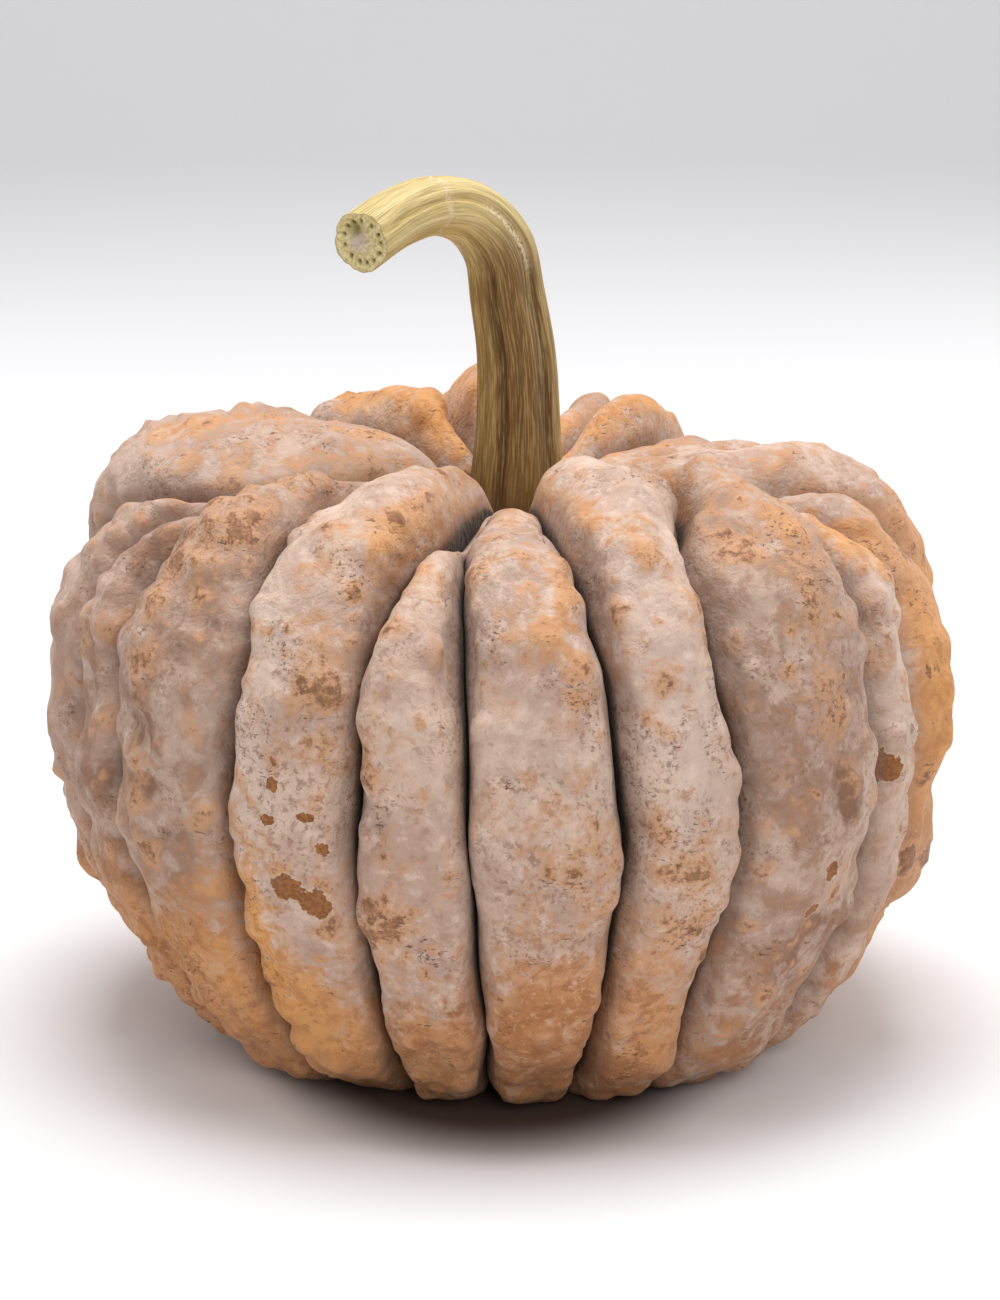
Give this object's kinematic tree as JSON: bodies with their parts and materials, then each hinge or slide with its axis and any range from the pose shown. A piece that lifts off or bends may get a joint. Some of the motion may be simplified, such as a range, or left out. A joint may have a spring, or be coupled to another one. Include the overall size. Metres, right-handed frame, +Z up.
{
  "type": "pumpkin",
  "caption": "Ribbed musk-type pumpkin with deep clefts, lumpy skin under a dusty bloom and a bent, ridged stem; it sits upright on the undersides of its ribs.",
  "frame": {"origin": "on the resting surface, under the middle of the fruit", "axes": "+Z up along the fruit's core, -Y towards the side that the stem's cut end bends to, +X to the right of that side"},
  "size_m": [0.1883, 0.1891, 0.1832],
  "materials": {
    "fruit_skin": "matte",
    "stem_bark": "satin"
  },
  "bodies": {
    "root": {"fruit": "fruit_skin", "stem": "stem_bark"}
  },
  "joints": []
}
